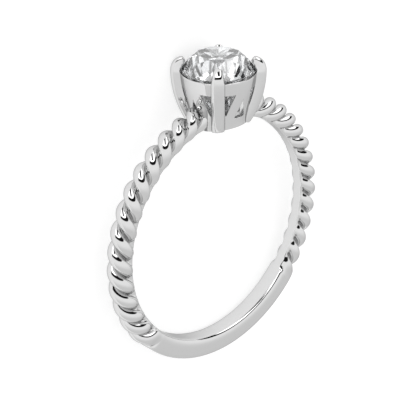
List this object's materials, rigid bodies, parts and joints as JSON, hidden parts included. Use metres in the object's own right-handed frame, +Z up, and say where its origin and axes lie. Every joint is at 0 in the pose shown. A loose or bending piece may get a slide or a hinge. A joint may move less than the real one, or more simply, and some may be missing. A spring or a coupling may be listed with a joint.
{
  "type": "solitaire engagement ring",
  "caption": "Solitaire ring with a rope-twist band, plain at the bottom, a pierced tulip cup and claws that hold a round brilliant-cut stone above the finger hole.",
  "frame": {"origin": "middle of the bounding box's bottom face, on the surface that the ring lies on", "axes": "+Y from the bottom of the band to the stone, +Z up from the surface, roughly along the finger hole, +X across the finger hole"},
  "size_m": [0.0202, 0.0232, 0.0051],
  "materials": {
    "white_gold": "mirror-polished white gold",
    "diamond": "polished facets, clear and colourless"
  },
  "bodies": {
    "root": {"band_with_setting": "white_gold", "diamond": "diamond"}
  },
  "joints": []
}
